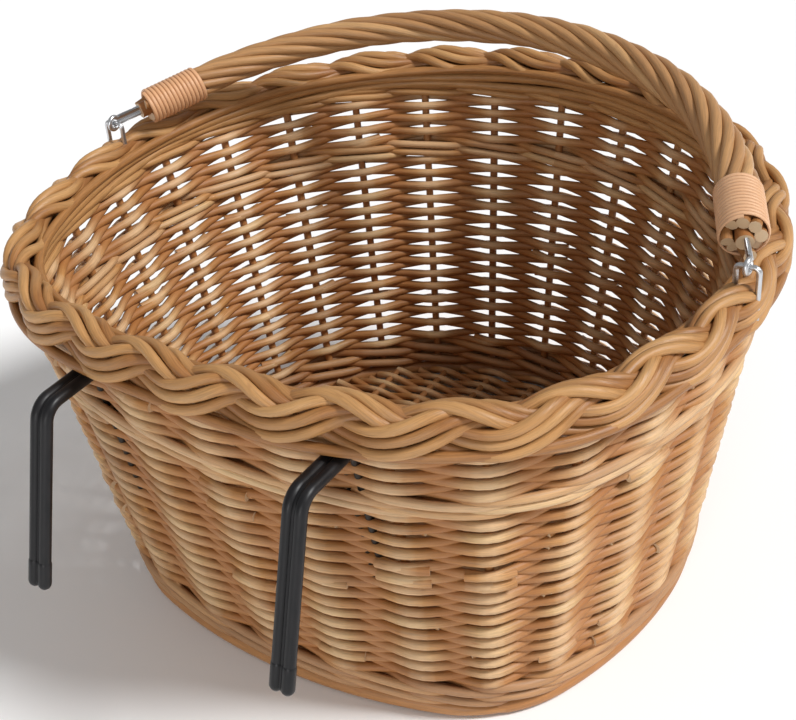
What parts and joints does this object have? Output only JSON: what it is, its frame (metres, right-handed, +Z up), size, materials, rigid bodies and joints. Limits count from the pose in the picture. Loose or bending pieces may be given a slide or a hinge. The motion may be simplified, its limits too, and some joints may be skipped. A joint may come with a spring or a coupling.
{
  "type": "handlebar basket",
  "caption": "Round-fronted willow basket with a plaited rim, a swinging roped handle and two hooks that hang it on a handlebar.",
  "frame": {"origin": "middle of the base's underside, on the plane that the basket stands on", "axes": "+Z up, X from hinge to hinge of the handle, -Y towards the handlebar and the hooks"},
  "size_m": [0.392, 0.4271, 0.2603],
  "materials": {
    "willow": "natural willow rods, satin",
    "willow_dark": "darker willow, satin",
    "handle_willow": "natural willow rods, satin",
    "split_cane": "split cane, satin",
    "black_plastic": "satin black coating",
    "steel_wire": "drawn steel wire",
    "zinc_wire": "bright zinc-plated wire"
  },
  "bodies": {
    "basket": {"base_long_sticks": "willow_dark", "base_short_sticks": "willow_dark", "base_weave": "willow", "foot_hoop": "willow_dark", "side_stakes": "willow_dark", "upsett_wale": "willow", "side_weave_lower": "willow", "band_wale": "willow", "side_weave_upper": "willow", "border_plait": "willow", "hook_wire_left": "steel_wire", "hook_wire_right": "steel_wire", "hook_sleeve_left": "black_plastic", "hook_sleeve_right": "black_plastic", "hook_cap_left": "black_plastic", "hook_cap_right": "black_plastic", "staple_left": "zinc_wire", "staple_right": "zinc_wire"},
    "handle": {"handle_core": "willow_dark", "handle_rope": "handle_willow", "handle_whipping_left": "split_cane", "handle_whipping_right": "split_cane", "handle_eye_left": "zinc_wire", "handle_eye_right": "zinc_wire"}
  },
  "joints": [
    {"name": "handle_swing", "type": "hinge", "parent": "basket", "child": "handle", "pos_m": [0, -0.008, 0.2225], "axis": [1, 0, 0], "range_deg": [0, 154]}
  ]
}
